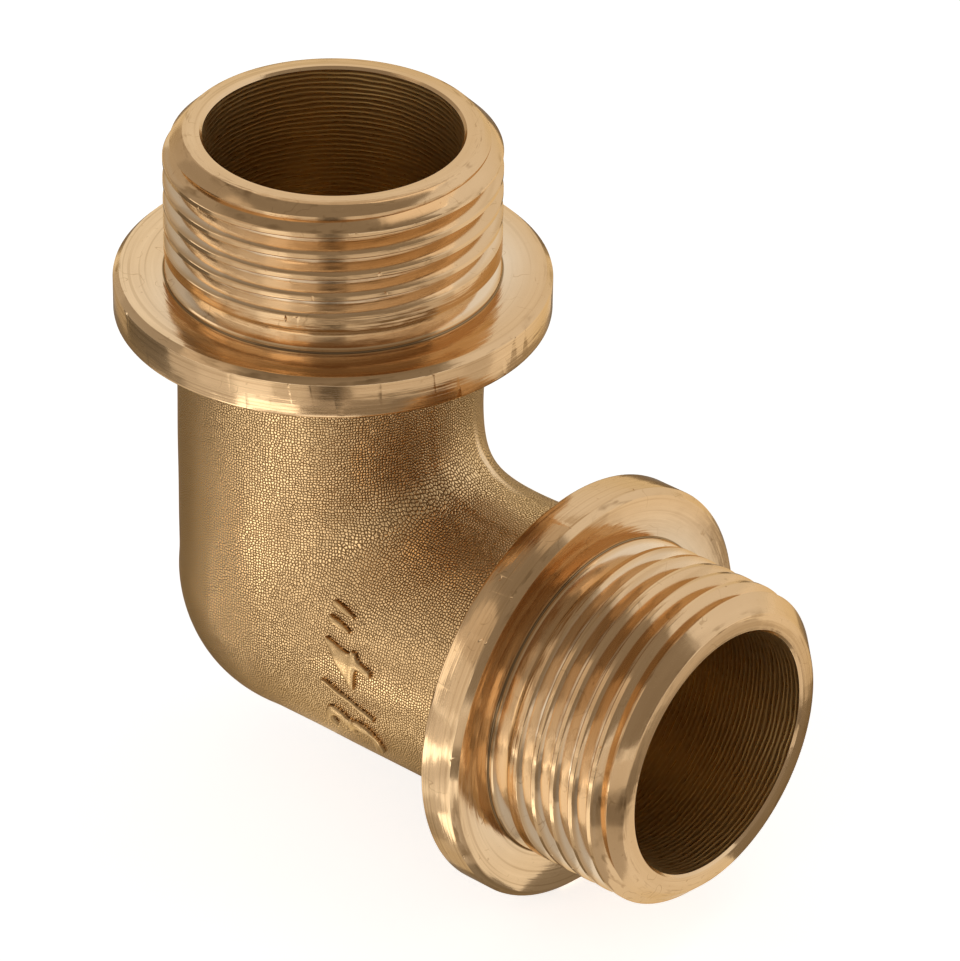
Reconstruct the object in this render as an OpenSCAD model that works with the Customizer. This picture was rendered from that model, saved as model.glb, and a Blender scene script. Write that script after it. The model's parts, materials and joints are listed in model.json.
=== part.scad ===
// Right-angle pipe fitting with a male thread and a sealing collar on each leg.
// It is forged in brass as one piece, then drilled, turned and threaded from both ends.
// The axes of the legs cross at the origin: one leg points along +Z and the other along +X.

/* [Legs] */
// Distance from the crossing of the axes to each end face
leg_l = 39.5; // [35:0.5:60]
// Length of the turned spigot, from the collar to the end face
spigot_l = 12; // [10:0.1:16]
// Outside diameter of the forged body
body_d = 24; // [22.8:0.1:26]

/* [Bend] */
// Inside radius of the bend, between the two legs
bend_r = 4.5; // [2:0.5:7]
// Thickness of the web that rounds the inside of the bend
web_d = 17; // [13:0.5:20]
// How far the ball of the outer corner stands proud of the legs
corner_full = 0.1; // [0.05:0.05:0.6]

/* [Collars] */
// Outside diameter of each collar
collar_d = 34; // [30:0.2:44]
// Thickness of each collar
collar_t = 3.4; // [2:0.1:6]
// Chamfer round the front of each collar
collar_chamfer = 0.5; // [0.1:0.1:1]
// Edge broken round the back of each collar
collar_back_edge = 0.25; // [0.1:0.05:0.8]
// Forged fillet between the body and the back of each collar
collar_fillet = 1; // [0.4:0.1:2]

/* [Thread] */
// Outside diameter of the pipe thread, 3/4 inch parallel
thread_d = 26.1; // [25.2:0.02:30]
// Pitch of the thread, 14 turns to the inch
thread_pitch = 1.814; // [1:0.001:2.309]
// How far the crests are turned down below the full form of the thread
crest_cut = 0.17; // [0:0.01:0.25]
// Distance from the end face to the middle of the first groove
first_groove = 1.08; // [0.8:0.01:2]
// Chamfer on the end of each spigot
end_chamfer = 1.55; // [0.8:0.05:1.8]
// Least width of the plain band behind the thread
band_w = 1; // [0.3:0.1:2]
// Width of the relief groove between that band and the foot
relief_w = 1.48; // [1.2:0.02:2.5]
// Depth of the relief groove
relief_depth = 1.1; // [0.5:0.05:1.4]
// Height of the plain foot that meets the collar
foot_h = 0.35; // [0.1:0.05:1]

/* [Ways] */
// Diameter of the way drilled down each leg
bore_d = 20; // [14:0.1:21.2]
// How far each drill runs past the crossing of the axes
overdrill = 0.8; // [0.4:0.1:1.4]
// Angle of the drill's point
drill_angle = 118; // [100:1:140]
// Edge broken round each mouth
mouth_chamfer = 0.2; // [0.1:0.05:0.6]

/* [Hidden] */
brass = "#bd9257";
$fn = 96;
// Spare length by which a cut runs out of the solid
spare = 1;

body_r = body_d / 2;
collar_r = collar_d / 2;
thread_r = thread_d / 2;
bore_r = bore_d / 2;
web_r = web_d / 2;
collar_front = leg_l - spigot_l;
collar_back = collar_front - collar_t;

// Form of the thread: 55 degrees between its flanks, with narrow flats on crest and root
half_angle = 27.5;
thread_depth = 0.6403 * thread_pitch - crest_cut;
root_flat = thread_pitch / 6;
groove_half = root_flat / 2 + thread_depth * tan(half_angle);

// Grooves fit in between the end face and what lies behind the thread
tail_l = groove_half + band_w + relief_w + foot_h;
groove_n = 1 + floor((spigot_l - first_groove - tail_l) / thread_pitch);

// The web starts a little inside the legs, so that its surface leaves theirs at a clear angle
web_sink = 0.1;
web_centre = body_r + bend_r - web_sink;
web_arc_r = bend_r + web_r;

// Half outline of the body, with the collar and its fillet, from the crossing outwards
module body_outline() {
    square([body_r, collar_front]);
    polygon([
        [0, collar_back],
        [collar_r - collar_back_edge, collar_back],
        [collar_r, collar_back + collar_back_edge],
        [collar_r, collar_front - collar_chamfer],
        [collar_r - collar_chamfer, collar_front],
        [0, collar_front]
    ]);
    difference() {
        translate([0, collar_back - collar_fillet])
            square([body_r + collar_fillet, 2 * collar_fillet]);
        translate([body_r + collar_fillet, collar_back - collar_fillet])
            circle(r = collar_fillet);
    }
}

// Half outline of the plain spigot, with its end chamfer
module spigot_outline() {
    polygon([
        [0, collar_back],
        [thread_r, collar_back],
        [thread_r, leg_l - end_chamfer],
        [thread_r - end_chamfer, leg_l],
        [0, leg_l]
    ]);
}

// Section of a groove with the thread's flanks, cut inwards from the thread's outside
module groove_outline(half_w, depth) {
    bottom = half_w - depth * tan(half_angle);
    top = half_w + spare * tan(half_angle);
    translate([thread_r, 0])
        polygon([
            [-depth, -bottom],
            [-depth, bottom],
            [spare, top],
            [spare, -top]
        ]);
}

// Half outline of one whole leg. The thread stands as rings of its true section and pitch,
// and its turns join into a helix on the real fitting
module leg_outline() {
    difference() {
        spigot_outline();
        for (turn = [0 : groove_n - 1])
            translate([0, leg_l - first_groove - turn * thread_pitch])
                groove_outline(groove_half, thread_depth);
        translate([0, collar_front + foot_h + relief_w / 2])
            groove_outline(relief_w / 2, relief_depth);
    }
    body_outline();
}

// One solid leg, pointing along +Z
module leg() {
    rotate_extrude()
        leg_outline();
}

// Ball that closes the outer corner, where the two legs meet
module corner_ball() {
    sphere(r = body_r + corner_full);
}

// Swept web that rounds the inside of the bend
module bend_web() {
    translate([web_centre, 0, web_centre])
        rotate([90, 0, 0])
            rotate([0, 0, 180])
                rotate_extrude(angle = 90)
                    translate([web_arc_r, 0])
                        circle(r = web_r);
}

// Way drilled down one leg, with the drill's point and the broken edge at the mouth
module way() {
    point_h = bore_r / tan(drill_angle / 2);
    rotate_extrude()
        polygon([
            [0, -overdrill - point_h],
            [bore_r, -overdrill],
            [bore_r, leg_l - mouth_chamfer],
            [bore_r + mouth_chamfer + spare, leg_l + spare],
            [0, leg_l + spare]
        ]);
}

// Places a form made along +Z on that leg and on the one along +X
module on_both_legs() {
    children();
    rotate([0, 90, 0])
        children();
}

module elbow() {
    color(brass)
        difference() {
            union() {
                on_both_legs()
                    leg();
                corner_ball();
                bend_web();
            }
            on_both_legs()
                way();
        }
}

elbow();
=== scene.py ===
# %% [markdown]
# # A brass pipe elbow with two threaded ends
#
# This lesson dresses one forged fitting. The solid model gives its size and its form, and this
# script adds what a camera sees: real helical threads, the blasted skin of the forging, the
# turned ends with their tool marks, and the wear of a fitting that has lain in a bin.

# %% Load the frame
import json
import math
import random

import bmesh
import bpy
from mathutils import Matrix, Vector, noise


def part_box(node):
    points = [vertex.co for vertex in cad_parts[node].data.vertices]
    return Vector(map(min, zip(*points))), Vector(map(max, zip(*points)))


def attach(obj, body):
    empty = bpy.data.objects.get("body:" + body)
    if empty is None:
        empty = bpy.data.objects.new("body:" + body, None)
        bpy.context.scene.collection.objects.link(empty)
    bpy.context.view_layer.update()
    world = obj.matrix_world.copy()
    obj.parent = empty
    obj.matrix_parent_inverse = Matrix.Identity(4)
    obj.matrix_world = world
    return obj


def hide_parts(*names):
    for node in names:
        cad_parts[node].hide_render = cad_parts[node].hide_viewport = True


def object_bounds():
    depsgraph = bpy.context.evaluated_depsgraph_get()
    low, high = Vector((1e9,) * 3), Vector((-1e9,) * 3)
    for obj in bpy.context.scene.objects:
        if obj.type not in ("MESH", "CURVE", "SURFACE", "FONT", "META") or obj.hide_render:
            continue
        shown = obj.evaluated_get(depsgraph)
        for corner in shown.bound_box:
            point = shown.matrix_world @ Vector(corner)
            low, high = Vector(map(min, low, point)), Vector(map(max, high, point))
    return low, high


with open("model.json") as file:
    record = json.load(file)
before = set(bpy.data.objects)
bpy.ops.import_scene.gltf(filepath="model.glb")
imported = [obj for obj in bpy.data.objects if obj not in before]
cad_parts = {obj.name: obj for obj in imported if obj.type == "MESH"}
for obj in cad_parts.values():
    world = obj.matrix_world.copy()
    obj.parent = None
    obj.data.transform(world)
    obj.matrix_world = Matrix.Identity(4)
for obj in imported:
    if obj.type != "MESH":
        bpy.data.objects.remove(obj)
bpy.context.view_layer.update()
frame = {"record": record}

MM = 0.001

# %% [markdown]
# ## Sizes from the frame
#
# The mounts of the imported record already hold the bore, the thread and the seat. Reading them
# keeps the dressed part true to the solid one. What no mount states, such as the collar's
# thickness, is a named value in millimetres. The whole part is shaped in millimetres, because
# cutting tools work best near size one, and its mesh is scaled to metres at the end.

# %% Sizes in millimetres
mounts = {mount["name"]: mount for mount in frame["record"]["mounts"]}
leg_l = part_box("elbow")[1][2] / MM
collar_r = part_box("elbow")[1][1] / MM
bore_r = mounts["way_top"]["dims"]["r_mm"]
thread_r = mounts["thread_top"]["dims"]["r_mm"]
collar_front = mounts["seat_top"]["pos_m"][2] / MM

body_r = 12.0
collar_t = 3.4
collar_chamfer = 0.5
collar_back_edge = 0.25
collar_fillet = 1.0
end_chamfer = 1.55
mouth_chamfer = 0.2
foot_h = 0.35
relief_w = 1.48
relief_depth = 1.1
overdrill = 0.8
drill_angle = math.radians(118)
bend_r = 4.5
web_r = 8.5
web_sink = 0.1
corner_full = 0.1

pitch = 1.814
half_angle = math.radians(27.5)
thread_depth = 0.6403 * pitch - 0.17
root_flat = pitch / 6

collar_back = collar_front - collar_t
SEGMENTS = 192
print("leg", round(leg_l, 3), "collar radius", round(collar_r, 3), "thread radius", thread_r)

# %% [markdown]
# ## Helpers for making meshes
#
# Each rough piece is a bmesh that becomes an object, is cut or joined by a Boolean modifier and
# then has its result kept. Three small helpers do that, so that the cells below only talk
# about shape. Every rough piece carries the same three material slots: forged skin, turned
# metal and drilled wall. A cut face keeps the slot of the tool that made it.

# %% Helpers
FORGED, TURNED, DRILLED = 0, 1, 2
slots = [bpy.data.materials.new(name) for name in ("forged_skin", "turned_brass", "drilled_wall")]


def to_object(bm, name, slot_index):
    """Turns a bmesh into an object whose faces all use one slot."""
    bmesh.ops.recalc_face_normals(bm, faces=bm.faces[:])
    for face in bm.faces:
        face.material_index = slot_index
    mesh = bpy.data.meshes.new(name)
    bm.to_mesh(mesh)
    bm.free()
    for material in slots:
        mesh.materials.append(material)
    obj = bpy.data.objects.new(name, mesh)
    bpy.context.scene.collection.objects.link(obj)
    return obj


def keep_result(obj):
    """Replaces an object's mesh by what its modifiers make of it."""
    depsgraph = bpy.context.evaluated_depsgraph_get()
    made = bpy.data.meshes.new_from_object(obj.evaluated_get(depsgraph))
    obj.modifiers.clear()
    obj.data = made


def combine(obj, other, operation):
    """Joins another object to this one or cuts it away, and then removes it."""
    step = obj.modifiers.new(operation.lower(), "BOOLEAN")
    step.operation = operation
    step.solver = "MANIFOLD"
    step.object = other
    keep_result(obj)
    bpy.data.objects.remove(other)


def lathe(outline, name, slot_index):
    """Spins an outline of (radius, height) points round the Z axis into a closed solid."""
    bm = bmesh.new()
    verts = [bm.verts.new((r, 0, z)) for r, z in outline]
    edges = [bm.edges.new(pair) for pair in zip(verts, verts[1:])]
    bmesh.ops.spin(bm, geom=verts + edges, cent=(0, 0, 0), axis=(0, 0, 1),
                   angle=math.tau, steps=SEGMENTS, use_merge=True)
    bmesh.ops.remove_doubles(bm, verts=bm.verts[:], dist=1e-4)
    return to_object(bm, name, slot_index)


def arc(centre, radius, start, end, steps):
    """Points of an arc in an outline, from one angle to another in degrees."""
    angles = [math.radians(start + (end - start) * i / steps) for i in range(steps + 1)]
    return [(centre[0] + radius * math.cos(a), centre[1] + radius * math.sin(a)) for a in angles]


def closed(obj):
    """Says whether every edge of an object has exactly two faces."""
    bm = bmesh.new()
    bm.from_mesh(obj.data)
    loose = sum(not edge.is_manifold for edge in bm.edges)
    volume = bm.calc_volume(signed=True)
    bm.free()
    return f"{obj.name}: {len(obj.data.polygons)} faces, {loose} open edges, {volume:.0f} mm3"


# %% [markdown]
# ## The turned end
#
# On the real fitting each end is turned on a lathe: the collar is faced, the spigot is turned
# down, and a relief groove gives the threading tool a place to stop. One outline spun round
# the axis makes all of it. The sharp corners get small rounds, because a dead sharp edge
# never catches the light and a real one always does.

# %% Turned end
edge_round = 0.08
corner_fill = 0.06


def groove_side(height, depth):
    """Half width of a groove with the thread's flanks, this far below the thread's outside."""
    return height - depth * math.tan(half_angle)


def turned_end(name):
    relief_z = collar_front + foot_h + relief_w / 2
    relief_bottom = groove_side(relief_w / 2, relief_depth)
    outline = [(0, collar_back), (collar_r - collar_back_edge, collar_back)]
    outline += arc((collar_r - collar_back_edge, collar_back + collar_back_edge),
                   collar_back_edge, -90, 0, 4)[1:]
    outline += [(collar_r, collar_front - collar_chamfer - edge_round),
                (collar_r - edge_round * 0.3, collar_front - collar_chamfer + edge_round * 0.2),
                (collar_r - collar_chamfer + edge_round * 0.2, collar_front - edge_round * 0.3),
                (collar_r - collar_chamfer - edge_round, collar_front)]
    outline += [(thread_r + corner_fill, collar_front), (thread_r, collar_front + corner_fill)]
    outline += [(thread_r, relief_z - relief_w / 2 - edge_round),
                (thread_r - edge_round, relief_z - groove_side(relief_w / 2, edge_round)),
                (thread_r - relief_depth + edge_round, relief_z - relief_bottom - edge_round * 0.5),
                (thread_r - relief_depth, relief_z - relief_bottom + edge_round * 0.5),
                (thread_r - relief_depth, relief_z + relief_bottom - edge_round * 0.5),
                (thread_r - relief_depth + edge_round, relief_z + relief_bottom + edge_round * 0.5),
                (thread_r - edge_round, relief_z + groove_side(relief_w / 2, edge_round)),
                (thread_r, relief_z + relief_w / 2 + edge_round)]
    outline += [(thread_r, leg_l - end_chamfer - edge_round),
                (thread_r - edge_round, leg_l - end_chamfer + edge_round),
                (thread_r - end_chamfer + edge_round, leg_l - edge_round),
                (thread_r - end_chamfer - edge_round, leg_l), (0, leg_l)]
    return lathe(outline, name, TURNED)


# %% [markdown]
# ## The helical thread
#
# A thread is one long groove. It could be faked by rings, but then the crests would not climb,
# and the eye notices. Here the tool's own section is swept along the helix, and the sweep is
# cut out of the turned end. `spin` does this when it is given a step along the axis as well
# as an angle. At the far end the tool backs out of the work, so the last stretch of the sweep
# moves outwards a little at every step and the groove fades away.

# %% Thread tool
lead_in_turns = 0.62
fade_degrees = 70
crest_break = 0.1
tool_top = 0.35


def thread_tool(name, phase, groove_top, turns):
    """A right-handed groove tool that starts above the end face and winds down.

    phase is the angle in degrees at which a groove's middle lies at groove_top."""
    half_w = root_flat / 2 + thread_depth * math.tan(half_angle)
    section = [(-thread_depth, -groove_side(half_w, thread_depth)),
               (-thread_depth, groove_side(half_w, thread_depth)),
               (-crest_break, groove_side(half_w, crest_break)),
               (-crest_break * 0.25, half_w + crest_break * 0.25),
               (0.02, half_w + crest_break),
               (tool_top, half_w + 0.4),
               (tool_top, -half_w - 0.4),
               (0.02, -half_w - crest_break),
               (-crest_break * 0.25, -half_w - crest_break * 0.25),
               (-crest_break, -groove_side(half_w, crest_break))]
    bm = bmesh.new()
    verts = [bm.verts.new((thread_r + r, 0, z)) for r, z in section]
    edges = [bm.edges.new((verts[i], verts[(i + 1) % len(verts)])) for i in range(len(verts))]
    steps = round(SEGMENTS * turns)
    step_angle = math.tau / SEGMENTS
    rise = pitch / SEGMENTS
    made = bmesh.ops.spin(bm, geom=verts + edges, cent=(0, 0, 0), axis=(0, 0, -1),
                          dvec=(0, 0, -rise), angle=steps * step_angle, steps=steps)
    last = [item for item in made["geom_last"] if isinstance(item, bmesh.types.BMEdge)]
    fade_steps = round(SEGMENTS * fade_degrees / 360)
    for step in range(fade_steps):
        grown = bmesh.ops.extrude_edge_only(bm, edges=last)["geom"]
        last = [item for item in grown if isinstance(item, bmesh.types.BMEdge)]
        moved = [item for item in grown if isinstance(item, bmesh.types.BMVert)]
        bmesh.ops.rotate(bm, verts=moved, cent=(0, 0, 0), matrix=Matrix.Rotation(-step_angle, 3, "Z"))
        bmesh.ops.translate(bm, verts=moved, vec=(0, 0, -rise))
        way_out = (thread_depth + 0.1) / fade_steps
        for vert in moved:
            radius = math.hypot(vert.co.x, vert.co.y)
            vert.co.x *= 1 + way_out / radius
            vert.co.y *= 1 + way_out / radius
    bmesh.ops.holes_fill(bm, edges=[edge for edge in bm.edges if edge.is_boundary], sides=12)
    start = groove_top + pitch * lead_in_turns
    turn = Matrix.Rotation(math.radians(phase) + math.tau * lead_in_turns, 4, "Z")
    bmesh.ops.transform(bm, verts=bm.verts[:], matrix=Matrix.Translation((0, 0, start)) @ turn)
    return to_object(bm, name, TURNED)


# %% [markdown]
# ## The forged body
#
# The body is two round legs, a ball that closes the outer corner and a swept web inside the
# bend. A forging has no sharp inner corners: metal is squeezed into the die and flows round
# them. Remeshing the joined shapes to small even squares and smoothing them a little gives
# the same soft corners, and a fine enough mesh to press the die's marks into.

# %% Forged body
body_grid = 0.34
smooth_passes = 6
bend_passes = 160


def plain_leg(name):
    flare = arc((body_r + collar_fillet, collar_back - collar_fillet), collar_fillet, 180, 90, 6)
    outline = [(0, 0), (body_r, 0)] + flare
    outline += [(body_r + collar_fillet, collar_back + 1), (0, collar_back + 1)]
    return lathe(outline, name, FORGED)


def lay_on_side(obj):
    """Turns a leg made along +Z to lie along +X."""
    obj.data.transform(Matrix.Rotation(math.pi / 2, 4, "Y"))
    return obj


def corner_ball():
    bm = bmesh.new()
    bmesh.ops.create_uvsphere(bm, u_segments=96, v_segments=48, radius=body_r + corner_full)
    return to_object(bm, "corner_ball", FORGED)


def bend_web():
    centre = body_r + bend_r - web_sink
    bm = bmesh.new()
    ring = bmesh.ops.create_circle(bm, cap_ends=True, segments=64, radius=web_r)["verts"]
    bmesh.ops.translate(bm, verts=ring, vec=(centre - bend_r - web_r, 0, centre))
    bmesh.ops.spin(bm, geom=bm.faces[:], cent=(centre, 0, centre), axis=(0, -1, 0),
                   angle=math.pi / 2, steps=32)
    return to_object(bm, "bend_web", FORGED)


def even_mesh(obj, size, slot_index):
    """Rebuilds a closed mesh from small even squares."""
    step = obj.modifiers.new("even_mesh", "REMESH")
    step.mode = "VOXEL"
    step.voxel_size = size
    keep_result(obj)
    obj.data.materials.clear()
    for material in slots:
        obj.data.materials.append(material)
    for face in obj.data.polygons:
        face.material_index = slot_index


body = plain_leg("brass_elbow")
combine(body, lay_on_side(plain_leg("side_leg")), "UNION")
combine(body, corner_ball(), "UNION")
combine(body, bend_web(), "UNION")
even_mesh(body, body_grid, FORGED)
print(closed(body))

# %% [markdown]
# ## Forging marks
#
# No forging is perfect. Its skin waves by a few hundredths of a millimetre, it sits a little
# off the axes that the lathe later turned, and trimming the flash leaves a low flat land along
# the inside of the bend, with a sharp lip on its far side. These are too big for a bump map and
# too small for the solid model, so they are pressed into the mesh, vertex by vertex.

# %% Press the marks in
forging_shift = Vector((-0.2, 0, 0.3))
wave_height = 0.035
wave_length = 5.0
land_height = 0.1
land_near, land_far = -1.5, 3.9
lip_height = 0.16
lip_half_width = 0.55


def ramp(value, low, high):
    """Rises smoothly from 0 to 1 between two values."""
    t = min(max((value - low) / (high - low), 0), 1)
    return t * t * (3 - 2 * t)


def inside_bend(co):
    """1 along the inside of the bend and of both legs, 0 elsewhere."""
    along = max(co.x, co.z)
    across = min(co.x, co.z)
    return ramp(across, 4, 7) * (1 - ramp(along, collar_back - 2.5, collar_back - 1))


def trim_height(co):
    """How far the trimmed land and its lip stand out of the skin at a point."""
    land = ramp(co.y, land_near - 0.4, land_near + 0.3) * (1 - ramp(co.y, land_far, land_far + 0.5))
    lip = max(0, 1 - abs(co.y - land_far) / lip_half_width)
    lip *= 1 - ramp(max(co.x, co.z), 12.5, 16)
    return inside_bend(co) * (land * land_height + lip * lip_height)


def smooth(bm, verts, passes):
    for _ in range(passes):
        bmesh.ops.smooth_vert(bm, verts=verts, factor=0.5, use_axis_x=True, use_axis_y=True,
                              use_axis_z=True)


bm = bmesh.new()
bm.from_mesh(body.data)

# Where the legs meet, the metal flows in a wide round, so the bend gets many more passes
in_bend = [vert for vert in bm.verts
           if min(vert.co.x, vert.co.z) > -2 and abs(vert.co.x - vert.co.z) < 8
           and max(vert.co.x, vert.co.z) < collar_back - 4]
smooth(bm, bm.verts[:], smooth_passes)
smooth(bm, in_bend, bend_passes)
bm.normal_update()
for vert in bm.verts:
    wave = noise.noise(vert.co / wave_length)
    vert.co += vert.normal * (wave * wave_height + trim_height(vert.co)) + forging_shift
bm.to_mesh(body.data)
bm.free()
print("forging shifted by", tuple(forging_shift), "mm")

# %% [markdown]
# ## The size in raised figures
#
# The die carries the pipe size, so it stands proud of the skin. It starts as flat text, which
# becomes a mesh, is rebuilt from tiny squares and smoothed until its edges are as round as a
# forging's. Then it is wrapped round the leg that points at the camera and joined to it.

# %% Raised figures
figure_h = 5.4
figure_start = -53.0
figure_foot = 15.2
figure_r = (11.3, 12.42)
figure_lean = 0.25
type_size = 7.6
type_weight = 0.03
figure_grid = 0.12
figure_passes = 22
figure_wave = 0.12
# Each sign with its place in the row, its width, and its share of the full height
figure_row = [("3", 1.0, 3.7, 1.0), ("/", 5.1, 2.2, 1.0), ("4", 7.4, 3.6, 0.95),
              ('"', 11.8, 2.2, 0.45)]


def figure(sign, start, width, tall):
    """One figure as a flat slab. Its place and width run round the leg, in millimetres."""
    curve = bpy.data.curves.new("figure", "FONT")
    curve.body = sign
    curve.size = type_size
    curve.shear = figure_lean
    curve.offset = type_weight
    curve.extrude = (figure_r[1] - figure_r[0]) / 2
    obj = bpy.data.objects.new("figure", curve)
    bpy.context.scene.collection.objects.link(obj)
    bpy.context.view_layer.update()
    mesh = bpy.data.meshes.new_from_object(obj.evaluated_get(bpy.context.evaluated_depsgraph_get()))
    bpy.data.objects.remove(obj)
    low = [min(vert.co[i] for vert in mesh.vertices) for i in range(3)]
    high = [max(vert.co[i] for vert in mesh.vertices) for i in range(3)]
    mesh.transform(Matrix.Translation([-v for v in low]))
    height = figure_h * tall
    mesh.transform(Matrix.Diagonal((width / (high[0] - low[0]), height / (high[1] - low[1]), 1, 1)))
    mesh.transform(Matrix.Translation((start, figure_h - height, 0)))
    return mesh


def raised_figures():
    bm = bmesh.new()
    for sign, start, width, tall in figure_row:
        bm.from_mesh(figure(sign, start, width, tall))
    obj = to_object(bm, "figures", FORGED)
    even_mesh(obj, figure_grid, FORGED)
    bm = bmesh.new()
    bm.from_mesh(obj.data)
    smooth(bm, bm.verts[:], figure_passes)
    for vert in bm.verts:
        angle = math.radians(figure_start) - vert.co.x / body_r
        radius = figure_r[0] + vert.co.z * (1 + figure_wave * noise.noise(vert.co / 1.1))
        vert.co = Vector((radius * math.cos(angle), radius * math.sin(angle), figure_foot - vert.co.y))
    bm.to_mesh(obj.data)
    bm.free()
    lay_on_side(obj)
    obj.data.transform(Matrix.Translation(forging_shift))
    return obj


raised = raised_figures()
print(closed(raised))
combine(body, raised, "UNION")
print(closed(body))

# %% [markdown]
# ## Put the ends on and drill the ways
#
# The cutting order is the workshop's: forge, turn, thread, drill. The two legs get their own
# angle of thread start, because no two cuts begin at the same place.

# %% Assemble
top_phase, top_groove = -48.1, 38.58
side_phase, side_groove = -130.8, 38.04
thread_turns = 5.0


def threaded_end(name, phase, groove_top):
    end = turned_end(name)
    combine(end, thread_tool(name + "_tool", phase, groove_top, thread_turns), "DIFFERENCE")
    print(closed(end))
    return end


def way(name):
    point_h = bore_r / math.tan(drill_angle / 2)
    outline = [(0, -overdrill - point_h), (bore_r, -overdrill)]
    outline += [(bore_r, leg_l - mouth_chamfer), (bore_r + mouth_chamfer + 1, leg_l + 1), (0, leg_l + 1)]
    tool = lathe(outline, name, DRILLED)
    for face in tool.data.polygons:
        if face.center.z > leg_l - mouth_chamfer:
            face.material_index = TURNED
    return tool


combine(body, threaded_end("top_end", top_phase, top_groove), "UNION")
combine(body, lay_on_side(threaded_end("side_end", side_phase, side_groove)), "UNION")
combine(body, way("top_way"), "DIFFERENCE")
combine(body, lay_on_side(way("side_way")), "DIFFERENCE")
print(closed(body))

# %% [markdown]
# ## Nicks and dings
#
# Fittings are tipped into bins, and their crests and rims knock together. Each nick is the
# print of another fitting's edge, so a small stretched ball is cut out of the metal where the
# photograph shows one. More are scattered by seeded chance on the edges that stick out most,
# because those are what gets hit. All the balls are one mesh, so one cut is enough.

# %% Nicks
TOP, SIDE = 0, 1
# Where the photograph shows a nick: its leg, radius, distance along the leg and angle round it
seen_nicks = [
    (TOP, 13.05, 34.28, -71.0), (TOP, 13.05, 30.25, -64.0), (TOP, 13.05, 32.47, -30.6),
    (TOP, 13.05, 28.11, -27.0), (TOP, 13.05, 38.10, -109.8),
    (SIDE, 13.05, 29.31, -163.0), (SIDE, 13.05, 30.83, -162.1), (SIDE, 13.05, 29.59, -107.9),
    (SIDE, 13.05, 31.48, -106.0), (SIDE, 17.0, 25.21, -146.9), (SIDE, 17.0, 26.44, -130.4),
    (SIDE, 16.9, 27.30, 169.5)]
# Edges that get more by chance: radius, distance along the leg, and how many
random_nicks = [(17.0, 27.05, 22), (17.0, 24.20, 14), (13.05, 37.90, 16), (13.05, 37.20, 8),
                (13.05, 35.95, 8), (13.05, 34.10, 8), (13.05, 32.30, 8), (13.05, 30.50, 6)]
chance = random.Random(7)


def leg_place(leg, radius, along, angle):
    """A point on a leg from its radius, its distance along and its angle, and the way outwards."""
    angle = math.radians(angle)
    point = Vector((radius * math.cos(angle), radius * math.sin(angle), along))
    outwards = Vector((math.cos(angle), math.sin(angle), 0))
    if leg == SIDE:
        turn_down = Matrix.Rotation(math.pi / 2, 3, "Y")
        return turn_down @ point, turn_down @ outwards
    return point, outwards


def add_ball(bm, point, outwards, depth, half_size):
    """A stretched ball that dips into the metal by its depth."""
    ball = bmesh.ops.create_icosphere(bm, subdivisions=2, radius=1)["verts"]
    for vert in ball:
        vert.co *= chance.uniform(0.9, 1.06)
    size = Matrix.Diagonal((half_size[0], half_size[1], half_size[2], 1))
    spin = Matrix.Rotation(chance.uniform(0, math.tau), 4, "Z")
    aim = outwards.to_track_quat("Z", "Y").to_matrix().to_4x4()
    place = Matrix.Translation(point + outwards * (half_size[2] - depth))
    bmesh.ops.transform(bm, verts=ball, matrix=place @ aim @ spin @ size)


nick_tool = bmesh.new()
for leg, radius, along, angle in seen_nicks:
    point, outwards = leg_place(leg, radius, along, angle)
    add_ball(nick_tool, point, outwards, 0.09, (0.45, 0.16, 0.3))
for radius, along, count in random_nicks:
    for leg in (TOP, SIDE):
        first = chance.uniform(0, 360)
        for i in range(count):
            angle = first + 360 * (i + chance.uniform(0.1, 0.9)) / count
            point, outwards = leg_place(leg, radius, along + chance.uniform(-0.06, 0.06), angle)
            grow = chance.uniform(0.6, 1.3)
            add_ball(nick_tool, point, outwards, chance.uniform(0.03, 0.08) * grow,
                     (0.5 * grow, 0.18 * grow, 0.35 * grow))
nicks = to_object(nick_tool, "nicks", TURNED)
print(len(seen_nicks) + 2 * sum(count for _, _, count in random_nicks), "nicks")
combine(body, nicks, "DIFFERENCE")
print(closed(body))

# %% [markdown]
# ## Hand the piece over
#
# The mesh goes to metres and keeps its sharp edges sharp. It rides the root body, and the
# solid elbow that it stands for is hidden.

# %% Finish the mesh
sharp_from = math.radians(28)
body.data.transform(Matrix.Scale(MM, 4))
body.data.shade_smooth()
body.data.set_sharp_from_angle(angle=sharp_from)
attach(body, "root")
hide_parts("elbow")
body.data.calc_loop_triangles()
print("triangles", len(body.data.loop_triangles))

# %% [markdown]
# ## Building materials from nodes
#
# Small helpers keep the material cells short: one adds a node and wires it, one does
# arithmetic, one mixes two colours, and two turn a value into a mask. The last two start a
# node group with named sockets and use one.

# %% Node helpers
def add(tree, kind, inputs, **settings):
    """Adds a node with its settings, and links or fills its inputs."""
    node = tree.nodes.new("ShaderNode" + kind)
    for key, value in settings.items():
        setattr(node, key, value)
    for key, value in inputs.items():
        if isinstance(value, bpy.types.NodeSocket):
            tree.links.new(value, node.inputs[key])
        else:
            node.inputs[key].default_value = value
    return node


def maths(tree, operation, *values, clamp=False):
    node = add(tree, "Math", dict(enumerate(values)), operation=operation, use_clamp=clamp)
    return node.outputs[0]


def blend(tree, factor, first, second):
    """Mixes two colours, from the first at 0 to the second at 1."""
    ends = [(*end, 1) if isinstance(end, tuple) else end for end in (first, second)]
    node = add(tree, "Mix", {0: factor, 6: ends[0], 7: ends[1]}, data_type="RGBA")
    return node.outputs[2]


def stretch(tree, value, low, high, to_low=0.0, to_high=1.0):
    """Maps a value from one range to another and holds it at the ends."""
    return add(tree, "MapRange", {"Value": value, "From Min": low, "From Max": high,
                                  "To Min": to_low, "To Max": to_high}).outputs["Result"]


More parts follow.
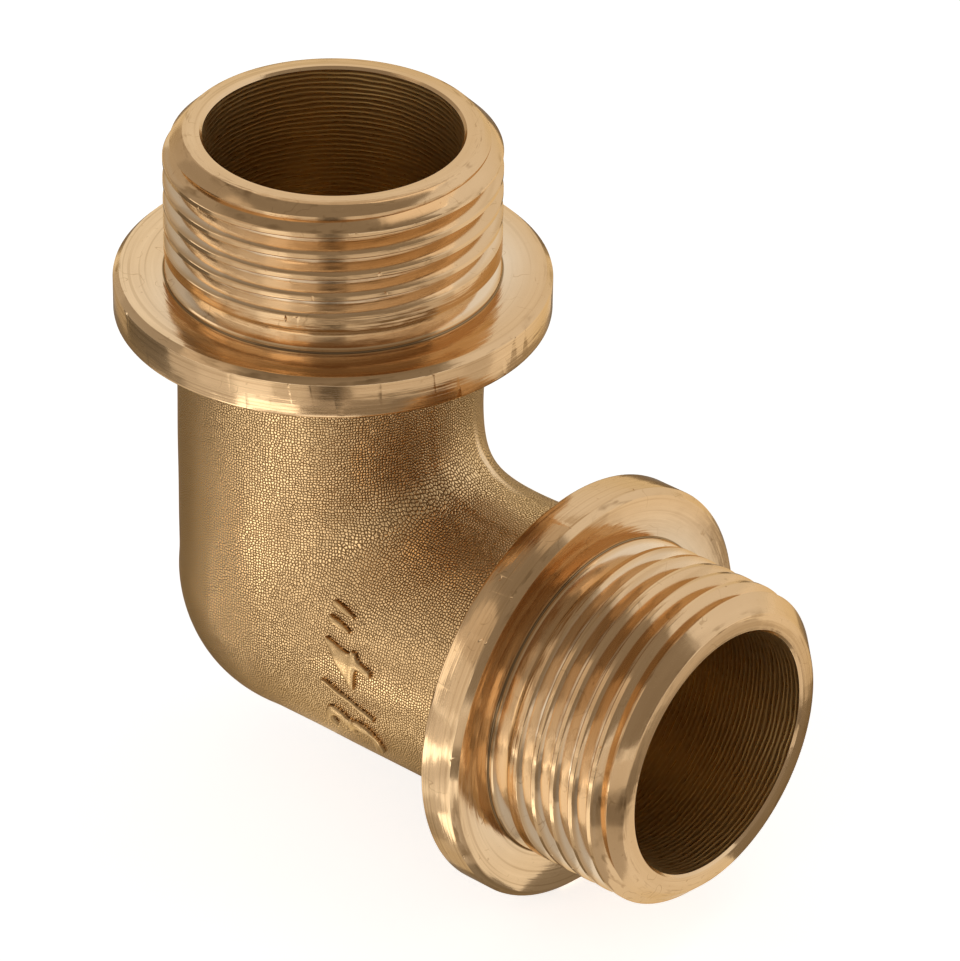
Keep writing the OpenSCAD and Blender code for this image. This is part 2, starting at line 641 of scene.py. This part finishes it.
def window(tree, value, start, full, fade, end):
    """Rises from 0 to 1 between two values and falls back to 0 between the next two."""
    return maths(tree, "MULTIPLY", stretch(tree, value, start, full),
                 stretch(tree, value, fade, end, 1.0, 0.0))


def start_group(name, takes, gives):
    """A new node group with named sockets: its tree, what it takes and what it gives."""
    tree = bpy.data.node_groups.new(name, "ShaderNodeTree")
    for label, value in takes.items():
        socket = tree.interface.new_socket(name=label, in_out="INPUT", socket_type="NodeSocketFloat")
        socket.default_value = value
    for label, kind in gives.items():
        tree.interface.new_socket(name=label, in_out="OUTPUT", socket_type="NodeSocket" + kind)
    return tree, tree.nodes.new("NodeGroupInput").outputs, tree.nodes.new("NodeGroupOutput").inputs


def use_group(tree, group, inputs):
    """Puts a group into a tree and gives its outputs."""
    node = tree.nodes.new("ShaderNodeGroup")
    node.node_tree = group
    for label, value in inputs.items():
        node.inputs[label].default_value = value
    return node.outputs


# %% [markdown]
# ## Where on a leg
#
# Lathe marks and drill marks run round an axis, and this fitting has two. The group below asks
# which leg a point belongs to and gives its distance along that leg, its distance from the axis
# and its direction round it. Every pattern that follows a tool builds on these.

# %% Leg coordinates
def make_leg_coordinates():
    tree, takes, gives = start_group("leg_coordinates", {}, {
        "Along": "Float", "Radius": "Float", "Round X": "Float", "Round Y": "Float", "Place": "Vector"})
    place = add(tree, "TexCoord", {}).outputs["Object"]
    in_mm = add(tree, "VectorMath", {0: place, 1: (1000, 1000, 1000)}, operation="MULTIPLY").outputs[0]
    part = add(tree, "SeparateXYZ", {0: in_mm}).outputs
    on_side = maths(tree, "GREATER_THAN", part["X"], part["Z"])
    laid = add(tree, "CombineXYZ", {"X": maths(tree, "MULTIPLY", part["Z"], -1.0),
                                    "Y": part["Y"], "Z": part["X"]}).outputs[0]
    chosen = add(tree, "Mix", {0: on_side, 4: in_mm, 5: laid}, data_type="VECTOR").outputs[1]
    leg = add(tree, "SeparateXYZ", {0: chosen}).outputs
    squares = maths(tree, "ADD", maths(tree, "POWER", leg["X"], 2.0),
                    maths(tree, "POWER", leg["Y"], 2.0))
    radius = maths(tree, "SQRT", maths(tree, "MAXIMUM", squares, 0.01))
    for label, value in {"Along": leg["Z"], "Radius": radius, "Place": in_mm,
                         "Round X": maths(tree, "DIVIDE", leg["X"], radius),
                         "Round Y": maths(tree, "DIVIDE", leg["Y"], radius)}.items():
        tree.links.new(value, gives[label])
    return tree


leg_coordinates = make_leg_coordinates()

# %% [markdown]
# ## Tool lines
#
# A lathe tool leaves fine rings. On a face they are circles about the axis, on a wall they are
# bands along it, so the pattern is read from a sum of both distances. A little of the
# direction round the axis goes in as well, and then each ring changes on its way round, as a
# real one does.

# %% Tool lines
def make_tool_lines():
    tree, takes, gives = start_group("tool_lines", {"Line Width": 0.3, "Drift": 1.0, "Detail": 2.0},
                                     {"Height": "Float"})
    leg = use_group(tree, leg_coordinates, {})
    lay = maths(tree, "MULTIPLY_ADD", leg["Radius"], 0.7, leg["Along"])
    where = add(tree, "CombineXYZ", {
        "X": maths(tree, "DIVIDE", lay, takes["Line Width"]),
        "Y": maths(tree, "MULTIPLY", leg["Round X"], takes["Drift"]),
        "Z": maths(tree, "MULTIPLY", leg["Round Y"], takes["Drift"])}).outputs[0]
    lines = add(tree, "TexNoise", {"Vector": where, "Scale": 1.0, "Detail": takes["Detail"],
                                   "Roughness": 0.6}).outputs["Fac"]
    tree.links.new(lines, gives["Height"])
    return tree


tool_lines = make_tool_lines()

# %% [markdown]
# ## Handling
#
# Bare brass is never one colour. It dulls in soft blotches where it was touched and carries small
# dark specks of old oil. One group gives both masks, and each finish uses them as strongly
# as it needs.

# %% Handling marks
def make_handling():
    tree, takes, gives = start_group(
        "handling", {"Blotch Size": 6.0, "Speck Size": 0.7, "Speck Share": 0.3},
        {"Blotches": "Float", "Specks": "Float"})
    place = use_group(tree, leg_coordinates, {})["Place"]
    broad_scale = maths(tree, "DIVIDE", 1.0, takes["Blotch Size"])
    broad = add(tree, "TexNoise", {"Vector": place, "Scale": broad_scale, "Detail": 3.0,
                                   "Roughness": 0.6}).outputs["Fac"]
    fine_scale = maths(tree, "DIVIDE", 1.0, takes["Speck Size"])
    fine = add(tree, "TexNoise", {"Vector": place, "Scale": fine_scale, "Detail": 2.0,
                                  "Roughness": 0.7}).outputs["Fac"]
    edge = maths(tree, "SUBTRACT", 1.0, takes["Speck Share"])
    tree.links.new(stretch(tree, broad, 0.38, 0.66), gives["Blotches"])
    tree.links.new(stretch(tree, fine, edge, maths(tree, "ADD", edge, 0.08)), gives["Specks"])
    return tree


handling = make_handling()

# %% [markdown]
# ## Hairline scratches
#
# Where a noise pattern crosses its middle value it draws thin winding lines, like the contour
# lines of a map. Kept only in a few places by a second noise, they pass for the hairlines that
# loose fittings scratch into each other.

# %% Hairlines
def make_hairlines():
    tree, takes, gives = start_group("hairlines", {"Size": 3.0, "Width": 0.006, "Share": 0.35},
                                     {"Lines": "Float"})
    place = use_group(tree, leg_coordinates, {})["Place"]
    scale = maths(tree, "DIVIDE", 1.0, takes["Size"])
    ground = add(tree, "TexNoise", {"Vector": place, "Scale": scale, "Detail": 1.5,
                                    "Roughness": 0.5}).outputs["Fac"]
    off = maths(tree, "ABSOLUTE", maths(tree, "SUBTRACT", ground, 0.5))
    line = maths(tree, "SUBTRACT", 1.0, maths(tree, "DIVIDE", off, takes["Width"]), clamp=True)
    elsewhere = add(tree, "VectorMath", {0: place, 1: (31.0, 17.0, 53.0)}, operation="ADD").outputs[0]
    spread = add(tree, "TexNoise", {"Vector": elsewhere, "Scale": 0.45, "Detail": 1.0}).outputs["Fac"]
    edge = maths(tree, "SUBTRACT", 1.0, takes["Share"])
    kept = stretch(tree, spread, edge, maths(tree, "ADD", edge, 0.05))
    tree.links.new(maths(tree, "MULTIPLY", line, kept), gives["Lines"])
    return tree


hairlines = make_hairlines()

# %% [markdown]
# ## Three finishes
#
# Forged skin is blasted: it is covered by rounded pebbles a quarter of a millimetre wide, with
# valleys painted dark as shade and tops painted light as highlights. The turned ends are bright,
# with tool lines and a slight chatter that breaks reflections up. The drilled walls carry even
# ridges, one for every turn of the drill, with dips painted darker as shade and tops painted
# lighter as highlights, and they are browner than the turned ends. All three are the same brass.

# %% Finish helper
edge_tint = (0.80, 0.66, 0.47)


def finish(material, colour, roughness, height, bump_mm):
    """Wires a finish into its Principled shader. bump_mm is the full height of the bump."""
    tree = material.node_tree
    shader = tree.nodes["Principled BSDF"]
    shader.inputs["Metallic"].default_value = 1
    shader.inputs["Specular Tint"].default_value = (*edge_tint, 1)
    tree.links.new(colour, shader.inputs["Base Color"])
    tree.links.new(roughness, shader.inputs["Roughness"])
    normal = None
    for level, size in zip(height, bump_mm):
        bump = add(tree, "Bump", {"Strength": 1.0, "Distance": size * MM, "Height": level})
        if normal:
            tree.links.new(normal, bump.inputs["Normal"])
        normal = bump.outputs[0]
    tree.links.new(normal, shader.inputs["Normal"])
    print(material.name, len(tree.nodes), "nodes")


for material in slots:
    material.use_nodes = True

# %% Forged skin
pebble = 0.24
pebble_share, grain_share = 0.68, 0.36
skin_bump = 0.034
valley_painted_shade, crown_painted_highlight = (0.13, 0.065, 0.02), (0.89, 0.615, 0.325)
skin_blotch, skin_speck = (0.42, 0.255, 0.115), (0.24, 0.14, 0.06)
figure_painted_dark_reflection, lip_brass = (0.56, 0.375, 0.185), (0.78, 0.57, 0.35)
tree = slots[FORGED].node_tree
leg = use_group(tree, leg_coordinates, {})
place = leg["Place"]
part = add(tree, "SeparateXYZ", {0: place}).outputs

# Both legs are unrolled to a flat sheet that meets itself at the bend, so every pebble is whole
along = maths(tree, "MAXIMUM", part["X"], part["Z"])
across = maths(tree, "MINIMUM", part["X"], part["Z"])
turned = maths(tree, "ARCTAN2", across, maths(tree, "MULTIPLY", part["Y"], -1.0))
sheet = add(tree, "CombineXYZ", {"X": maths(tree, "MULTIPLY", turned, body_r), "Y": along}).outputs[0]
uneven = add(tree, "TexNoise", {"Vector": place, "Scale": 0.9, "Detail": 1.0})
shifted = add(tree, "VectorMath", {0: uneven.outputs["Color"], 1: (0.3, 0.3, 0.3), 2: sheet},
              operation="MULTIPLY_ADD").outputs[0]
cells = add(tree, "TexVoronoi", {"Vector": shifted, "Scale": 1 / pebble, "Randomness": 0.7},
            voronoi_dimensions="2D", feature="DISTANCE_TO_EDGE").outputs["Distance"]
rough_grain = add(tree, "TexNoise", {"Vector": place, "Scale": 2.6, "Detail": 2.0,
                                     "Roughness": 0.6}).outputs["Fac"]
pebbles = stretch(tree, cells, 0.04, 0.30)
relief = maths(tree, "MULTIPLY_ADD", rough_grain, grain_share,
               maths(tree, "MULTIPLY", pebbles, pebble_share))

# The raised figures were pressed smooth. They are what stands proud of the forging's own
# radius, in their row along X, on the side that faces the camera
above_axis = maths(tree, "SUBTRACT", part["Z"], forging_shift.z)
off_axis = add(tree, "CombineXYZ", {"X": part["Y"], "Y": above_axis}).outputs[0]
from_axis = add(tree, "VectorMath", {0: off_axis}, operation="LENGTH").outputs["Value"]
proud = stretch(tree, from_axis, body_r + 0.06, body_r + 0.14)
in_row = window(tree, part["X"], 9.2, 9.6, 15.6, 16.2)
on_side = maths(tree, "MULTIPLY", stretch(tree, part["Y"], -8.0, -4.0, 1.0, 0.0),
                stretch(tree, part["Z"], 6.6, 7.2, 1.0, 0.0))
on_figures = maths(tree, "MULTIPLY", proud, maths(tree, "MULTIPLY", in_row, on_side))

# The trimmed lip was cut smooth. It runs along the inside of the bend, with a torn edge
off_lip = maths(tree, "ABSOLUTE", maths(tree, "SUBTRACT", part["Y"], land_far))
in_hollow = stretch(tree, across, 5.0, 6.5)
near_bend = stretch(tree, along, 13.0, 17.0, 1.0, 0.0)
streaks = use_group(tree, tool_lines, {"Line Width": 1.5, "Drift": 14.0, "Detail": 2.0})["Height"]
edge = maths(tree, "MULTIPLY_ADD", maths(tree, "SUBTRACT", streaks, 0.5), 1.2, off_lip)
lip = maths(tree, "MULTIPLY", stretch(tree, edge, 0.3, 0.55, 1.0, 0.0),
            maths(tree, "MULTIPLY", in_hollow, near_bend))
smooth_part = maths(tree, "MAXIMUM", lip, maths(tree, "MULTIPLY", on_figures, 0.85))

dulled = use_group(tree, handling, {"Blotch Size": 7.0, "Speck Size": 1.1, "Speck Share": 0.33})
# The pebbles are painted: dark valleys as shade, light crowns as highlights
skin = blend(tree, stretch(tree, relief, 0.28, 0.72), valley_painted_shade, crown_painted_highlight)
skin = blend(tree, maths(tree, "MULTIPLY", dulled["Blotches"], 0.2), skin, skin_blotch)
skin = blend(tree, maths(tree, "MULTIPLY", dulled["Specks"], 0.25), skin, skin_speck)
# The figures are painted darker, a painted reflection of the dark room in their smooth faces
skin = blend(tree, maths(tree, "MULTIPLY", on_figures, 0.85), skin, figure_painted_dark_reflection)
skin = blend(tree, lip, skin, lip_brass)
flatter = maths(tree, "MULTIPLY", relief, maths(tree, "SUBTRACT", 1.0, smooth_part))
finish(slots[FORGED], skin, stretch(tree, relief, 0.3, 0.9, 0.34, 0.24), [flatter], [skin_bump])

# %% Turned brass
turned_dark, turned_pale = (0.72, 0.512, 0.305), (0.82, 0.597, 0.365)
turned_blotch, turned_speck = (0.67, 0.475, 0.285), (0.34, 0.21, 0.10)
ring_brown, facing_painted_shade, painted_reflection_tint = (0.44, 0.29, 0.15), (0.55, 0.335, 0.155), (0.77, 0.62, 0.45)
scuff_brown, corner_painted_shade, scratch_brown = (0.27, 0.155, 0.065), (0.20, 0.12, 0.05), (0.40, 0.25, 0.12)
tree = slots[TURNED].node_tree
leg = use_group(tree, leg_coordinates, {})
part = add(tree, "SeparateXYZ", {0: leg["Place"]}).outputs
broad_lines = use_group(tree, tool_lines, {"Line Width": 0.34, "Drift": 1.2, "Detail": 2.0})["Height"]
fine_lines = use_group(tree, tool_lines, {"Line Width": 0.09, "Drift": 2.5, "Detail": 1.0})["Height"]
chatter = use_group(tree, tool_lines, {"Line Width": 1.1, "Drift": 5.0, "Detail": 1.5})["Height"]
dulled = use_group(tree, handling, {"Blotch Size": 5.0, "Speck Size": 0.6, "Speck Share": 0.32})
metal = blend(tree, stretch(tree, broad_lines, 0.3, 0.7), turned_dark, turned_pale)
metal = blend(tree, maths(tree, "MULTIPLY", dulled["Blotches"], 0.3), metal, turned_blotch)
metal = blend(tree, maths(tree, "MULTIPLY", dulled["Specks"], 0.5), metal, turned_speck)
rings = use_group(tree, tool_lines, {"Line Width": 0.15, "Drift": 0.5, "Detail": 0.0})["Height"]
metal = blend(tree, stretch(tree, rings, 0.62, 0.72, 0.0, 0.4), metal, ring_brown)

# The sides of both ends that face each other are painted browner, as shade between the two ends
inwards = maths(tree, "ADD", part["X"], part["Z"])
metal = blend(tree, stretch(tree, inwards, 20.0, 38.0, 0.0, 0.5), metal, facing_painted_shade)

# The grooves and the collar face round the spigot's foot are painted paler and less orange: a painted
# reflection that tones down the brass they mirror
in_groove = maths(tree, "MULTIPLY",
                  stretch(tree, leg["Radius"], thread_r - 0.35, thread_r - 0.1, 1.0, 0.0),
                  stretch(tree, leg["Along"], leg_l - 2.1, leg_l - 1.7, 1.0, 0.0))
off_face = maths(tree, "ABSOLUTE", maths(tree, "SUBTRACT", leg["Along"], collar_front))
at_foot = maths(tree, "MULTIPLY", stretch(tree, leg["Radius"], thread_r + 0.2, thread_r + 3.2, 0.9, 0.0),
                stretch(tree, off_face, 0.05, 0.3, 1.0, 0.0))
mid_part = window(tree, inwards, 16.0, 24.0, 37.0, 46.0)
reflection_tint_mask = maths(tree, "MULTIPLY", maths(tree, "MAXIMUM", in_groove, at_foot), mid_part)
metal = blend(tree, reflection_tint_mask, metal, painted_reflection_tint)

# Scuffs are short dark streaks along the edges that stick out
up_chamfer = maths(tree, "SUBTRACT", leg["Along"], leg_l - end_chamfer)
off_ends = maths(tree, "MINIMUM", maths(tree, "ABSOLUTE", up_chamfer),
                 maths(tree, "ABSOLUTE", maths(tree, "SUBTRACT", up_chamfer, end_chamfer)))
at_rim = maths(tree, "MULTIPLY", stretch(tree, off_ends, 0.05, 0.5, 1.0, 0.0),
               stretch(tree, leg["Radius"], 10.8, 11.4))
at_collar = maths(tree, "MULTIPLY", stretch(tree, leg["Radius"], collar_r - 0.9, collar_r - 0.3),
                  stretch(tree, off_face, 0.3, 1.0, 1.0, 0.0))
rubbed = use_group(tree, handling, {"Blotch Size": 3.0})["Blotches"]
streaks = use_group(tree, tool_lines, {"Line Width": 0.13, "Drift": 5.0, "Detail": 2.0})["Height"]
scuffs = maths(tree, "MULTIPLY", maths(tree, "MAXIMUM", at_rim, at_collar),
               maths(tree, "MULTIPLY", stretch(tree, streaks, 0.52, 0.62), rubbed))
metal = blend(tree, maths(tree, "MULTIPLY", scuffs, 0.8), metal, scuff_brown)

# A thin dark line of painted shade lies in the corner between the spigot and its collar
from_spigot = maths(tree, "ABSOLUTE", maths(tree, "SUBTRACT", leg["Radius"], thread_r))
corner_shade_mask = stretch(tree, maths(tree, "MAXIMUM", off_face, from_spigot), 0.08, 0.16, 0.85, 0.0)
metal = blend(tree, corner_shade_mask, metal, corner_painted_shade)

# Hairlines go over everything, and the finest tool lines set the gloss
scratched = use_group(tree, hairlines, {"Size": 2.6, "Width": 0.007, "Share": 0.45})["Lines"]
metal = blend(tree, maths(tree, "MULTIPLY", scratched, 0.6), metal, scratch_brown)
gloss = stretch(tree, fine_lines, 0.3, 0.7, 0.11, 0.20)
finish(slots[TURNED], metal, gloss, [chatter, broad_lines, fine_lines], [0.05, 0.016, 0.004])

# %% Drilled wall
ridge_pitch = 0.42
tree = slots[DRILLED].node_tree
leg = use_group(tree, leg_coordinates, {})
waver = use_group(tree, tool_lines, {"Line Width": 2.2, "Drift": 2.0, "Detail": 2.0})["Height"]
turns = maths(tree, "ADD", maths(tree, "DIVIDE", leg["Along"], ridge_pitch),
              maths(tree, "MULTIPLY", waver, 1.3))
ridge = maths(tree, "SINE", maths(tree, "MULTIPLY", turns, math.tau))
ridge = maths(tree, "MULTIPLY_ADD", ridge, 0.5, 0.5)
tears = use_group(tree, tool_lines, {"Line Width": 0.16, "Drift": 6.0, "Detail": 2.0})["Height"]
crest = stretch(tree, maths(tree, "MULTIPLY", ridge, tears), 0.3, 0.6)
# The dips between the ridges are painted darker as shade and the ridge tops lighter as highlights
ridge_painted_light = blend(tree, crest, (0.66, 0.46, 0.20), (0.86, 0.68, 0.38))
finish(slots[DRILLED], ridge_painted_light, stretch(tree, crest, 0.0, 1.0, 0.40, 0.22), [ridge, tears], [0.024, 0.007])

# %% [markdown]
# ## Camera
#
# The camera was found by fitting the edges of both mouths, the collars and the outline of the
# solid model to the photograph: it stands half a metre away, 40 degrees round and 32 up.

# %% Camera
turn, tilt, roll = math.radians(40.2276), math.radians(32.2257), math.radians(0.938)
distance, shift_right, shift_up = 487.741, 11.706, 6.722
focal_px = 6135.38
image_w = 960

back = Vector((math.sin(turn) * math.cos(tilt), -math.cos(turn) * math.cos(tilt), math.sin(tilt)))
level = Vector((math.cos(turn), math.sin(turn), 0))
upward = back.cross(level)
right = level * math.cos(roll) + upward * math.sin(roll)
up = upward * math.cos(roll) - level * math.sin(roll)
place = (back * distance + right * shift_right + up * shift_up) * MM

lens = bpy.data.cameras.new("camera")
lens.sensor_fit = "HORIZONTAL"
lens.sensor_width = 36
lens.lens = focal_px / image_w * lens.sensor_width
lens.clip_start = 0.01
camera = bpy.data.objects.new("camera", lens)
camera.matrix_world = Matrix.Translation(place) @ Matrix((right, up, back)).transposed().to_4x4()
bpy.context.scene.collection.objects.link(camera)
bpy.context.scene.camera = camera
print("camera at", [round(v, 4) for v in place], "lens", round(lens.lens, 2))

# %% [markdown]
# ## Floor and background
#
# The photograph has a white ground. The floor is plain paper that still takes the shadow, and a
# share of plain white is added to it for the camera and for mirrored rays. So the paper is white
# without more light on the brass, and the brass mirrors the same white paper.

# %% Floor
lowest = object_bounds()[0][2]
bm = bmesh.new()
bmesh.ops.create_grid(bm, x_segments=1, y_segments=1, size=1.5)
bmesh.ops.translate(bm, verts=bm.verts[:], vec=(0, 0, lowest))
floor_mesh = bpy.data.meshes.new("floor")
bm.to_mesh(floor_mesh)
bm.free()
floor = bpy.data.objects.new("floor", floor_mesh)
bpy.context.scene.collection.objects.link(floor)
print("floor at", round(lowest / MM, 2), "mm")

paper_glow = 0.7
paper = bpy.data.materials.new("paper")
paper.use_nodes = True
# The paper and the cards only glow in what mirrors them, so no light is looked for on them
paper.cycles.emission_sampling = "NONE"
tree = paper.node_tree
shader = tree.nodes["Principled BSDF"]
shader.inputs["Base Color"].default_value = (0.9, 0.9, 0.9, 1)
shader.inputs["Roughness"].default_value = 0.8
shader.inputs["Emission Color"].default_value = (1, 1, 1, 1)


def sees_ground(tree):
    """1 for the rays that show the white ground: those of the camera and of mirrors and glass."""
    ray = add(tree, "LightPath", {}).outputs
    mirrored = maths(tree, "MAXIMUM", ray["Is Glossy Ray"], ray["Is Transmission Ray"])
    return maths(tree, "MAXIMUM", ray["Is Camera Ray"], mirrored)


glow = maths(tree, "MULTIPLY", sees_ground(tree), paper_glow)
tree.links.new(glow, shader.inputs["Emission Strength"])
floor_mesh.materials.append(paper)

# %% [markdown]
# ## Studio light
#
# Polished metal shows its surroundings, so its light is mostly a matter of what stands around
# it. The white ground goes up behind the fitting and to its right. Square softboxes stand to
# the left, where the bright bands come from, and two hang high behind the fitting. The rest is
# the dark room behind the camera, and that is what gives brass its contrast.

# %% Softboxes
stand_off = 0.9
box_side = 0.42
white_light = (1.0, 0.98, 0.94)
brown_light = (1.0, 0.76, 0.50)
front = math.degrees(math.atan2(back.y, back.x))
# Height and place round the fitting in degrees, counted from the camera, then power and warmth
softboxes = [(12, 270, 0.64, 0.0), (12, 300, 0.33, 0.0), (12, 330, 0.74, 0.0), (38, 288, 0.21, 0.4),
             (38, 324, 0.10, 0.0), (64, 120, 0.46, 0.3), (64, 180, 0.20, 0.4)]


def mixed_light(brown):
    return tuple(w + (b - w) * brown for w, b in zip(white_light, brown_light))


def softbox(height, azimuth, power, brown):
    """A square lamp that faces the fitting, from its height and its place round it in degrees."""
    lamp = bpy.data.lights.new("softbox", "AREA")
    lamp.shape = "SQUARE"
    lamp.size = box_side
    lamp.energy = power
    lamp.color = mixed_light(brown)
    height, azimuth = math.radians(height), math.radians(front + azimuth)
    level_x, level_y = math.cos(azimuth), math.sin(azimuth)
    centre = stand_off * Vector((level_x * math.cos(height), level_y * math.cos(height),
                                 math.sin(height)))
    obj = bpy.data.objects.new("softbox", lamp)
    obj.matrix_world = Matrix.Translation(centre) @ centre.to_track_quat("Z", "Y").to_matrix().to_4x4()
    bpy.context.scene.collection.objects.link(obj)


for height, azimuth, power, brown in softboxes:
    softbox(height, azimuth, power, brown)
print(len(softboxes), "softboxes")

# %% [markdown]
# ## Cards on the table
#
# Upright walls mirror the table around the fitting and not the lamps. A photographer lays a grey
# mat there with white cards on it. Each card is a piece of a ring round the fitting and holds its
# own tone as an attribute. Only mirrored rays see the mat, the cards and the dark room.

# %% Cards on the table
mat_tone = 0.3
mat_reach = 0.3
# First and last angle in degrees, inner and outer radius in metres, and tone
cards = [
    # Next to the fitting, with one bright card in front of the lying spigot
    (-75, -30, 0.001, 0.03, 0.8), (-30, -15, 0.001, 0.03, 1.2), (-15, -4, 0.001, 0.033, 0.75),
    (-4, 9, 0.001, 0.028, 0.5), (-4, 9, 0.028, 0.033, 2.4), (9, 22, 0.001, 0.033, 0.7),
    # Under the body
    (-110, -60, 0.03, 0.06, 0.85), (-60, -38, 0.03, 0.06, 2.8), (-38, -22, 0.03, 0.06, 0.8),
    (-22, -15, 0.03, 0.06, 1.0), (-15, 15, 0.033, 0.06, 1.5), (15, 36, 0.033, 0.06, 0.6),
    (36, 60, 0.03, 0.06, 1.0), (-75, -45, 0.06, 0.076, 0.7), (-45, -15, 0.06, 0.076, 2.6),
    (60, 80, 0.06, 0.076, 0.42), (80, 95, 0.06, 0.076, 0.95), (95, 150, 0.06, 0.076, 0.5),
    # Further out, where the upright collar and spigot mirror them
    (-150, -122, 0.076, 0.3, 0.6), (-122, -84, 0.076, 0.3, 0.2), (-84, -66, 0.076, 0.3, 0.7),
    (-66, -46, 0.076, 0.3, 0.87), (-46, -27, 0.076, 0.3, 1.3), (-27, -9, 0.076, 0.3, 0.85),
    (-9, 9, 0.076, 0.093, 0.62), (9, 28, 0.076, 0.093, 0.4), (28, 48, 0.076, 0.093, 0.26),
    (48, 66, 0.076, 0.093, 0.42), (-9, -4, 0.093, 0.3, 0.35), (-4, 5, 0.093, 0.3, 0.16),
    (5, 10, 0.093, 0.3, 0.35), (10, 66, 0.093, 0.3, 0.85), (66, 84, 0.076, 0.3, 0.75),
    (84, 150, 0.076, 0.3, 1.1)]
sheet_gap = 0.0003


def ring_piece(bm, points, first, last, tone):
    """Sweeps an open line of points round the Z axis, from one angle to another in degrees."""
    start = math.radians(front + first)
    verts = [bm.verts.new((r * math.cos(start), r * math.sin(start), z)) for r, z in points]
    edges = [bm.edges.new(pair) for pair in zip(verts, verts[1:])]
    before = set(bm.faces)
    bmesh.ops.spin(bm, geom=verts + edges, cent=(0, 0, 0), axis=(0, 0, 1),
                   angle=math.radians(last - first), steps=max(6, round((last - first) / 5)))
    for face in set(bm.faces) - before:
        face[bm.faces.layers.float["tone"]] = tone


def only_mirrored(bm, name):
    """A stage piece that glows by its tone and is seen by mirrored rays alone."""
    mesh = bpy.data.meshes.new(name)
    bm.to_mesh(mesh)
    bm.free()
    obj = bpy.data.objects.new(name, mesh)
    bpy.context.scene.collection.objects.link(obj)
    obj.visible_camera = obj.visible_diffuse = obj.visible_shadow = False
    mesh.materials.append(card)
    print(name, len(mesh.polygons), "faces")


card = bpy.data.materials.new("card")
card.use_nodes = True
card.cycles.emission_sampling = "NONE"
tree = card.node_tree
shader = tree.nodes["Principled BSDF"]
shader.inputs["Base Color"].default_value = (0, 0, 0, 1)
shader.inputs["Specular IOR Level"].default_value = 0
tone = add(tree, "Attribute", {}, attribute_name="tone").outputs["Fac"]
tree.links.new(tone, shader.inputs["Emission Strength"])
tree.links.new(blend(tree, stretch(tree, tone, 0.3, 1.2), mixed_light(0.45), white_light),
               shader.inputs["Emission Color"])

bm = bmesh.new()
bm.faces.layers.float.new("tone")
ring_piece(bm, [(0.001, lowest + sheet_gap), (mat_reach, lowest + sheet_gap)], 0, 360, mat_tone)
for first, last, near, far, tone in cards:
    ring_piece(bm, [(near, lowest + 2 * sheet_gap), (far, lowest + 2 * sheet_gap)], first, last, tone)
only_mirrored(bm, "mat_and_cards")

# %% [markdown]
# ## The dark room
#
# The white ground ends left of the fitting, and above it at 51 degrees. From there on the brass
# mirrors a brown room. It is a piece of a dome: a wall all round the camera's side, lighter at
# its left end, and a ceiling.

# %% Dark room
room_tone = 0.335
room_reach = 1.3
ground_top = 51
walls = [(207, 230, 0.6), (230, 280, 0.46), (280, 434, room_tone)]


def room_arc(low, high, steps=8):
    return [(r, lowest + z) for r, z in arc((0, 0), room_reach, low, high, steps)]


bm = bmesh.new()
bm.faces.layers.float.new("tone")
for first, last, tone in walls:
    ring_piece(bm, room_arc(0, ground_top), first, last, tone)
ring_piece(bm, room_arc(ground_top, 89.9), 0, 360, room_tone)
only_mirrored(bm, "dark_room")

# %% [markdown]
# ## The world
#
# The camera and mirrored rays see the same white as the paper. Every other ray gets a dim warm
# grey, which is the light that fills the shadows.

# %% World
shade_light = (0.335, 0.325, 0.31)
world = bpy.data.worlds.new("studio")
bpy.context.scene.world = world
world.use_nodes = True
tree = world.node_tree
tree.links.new(blend(tree, sees_ground(tree), shade_light, (1.0, 1.0, 1.0)),
               tree.nodes["Background"].inputs["Color"])
bpy.context.scene.view_settings.view_transform = "Standard"
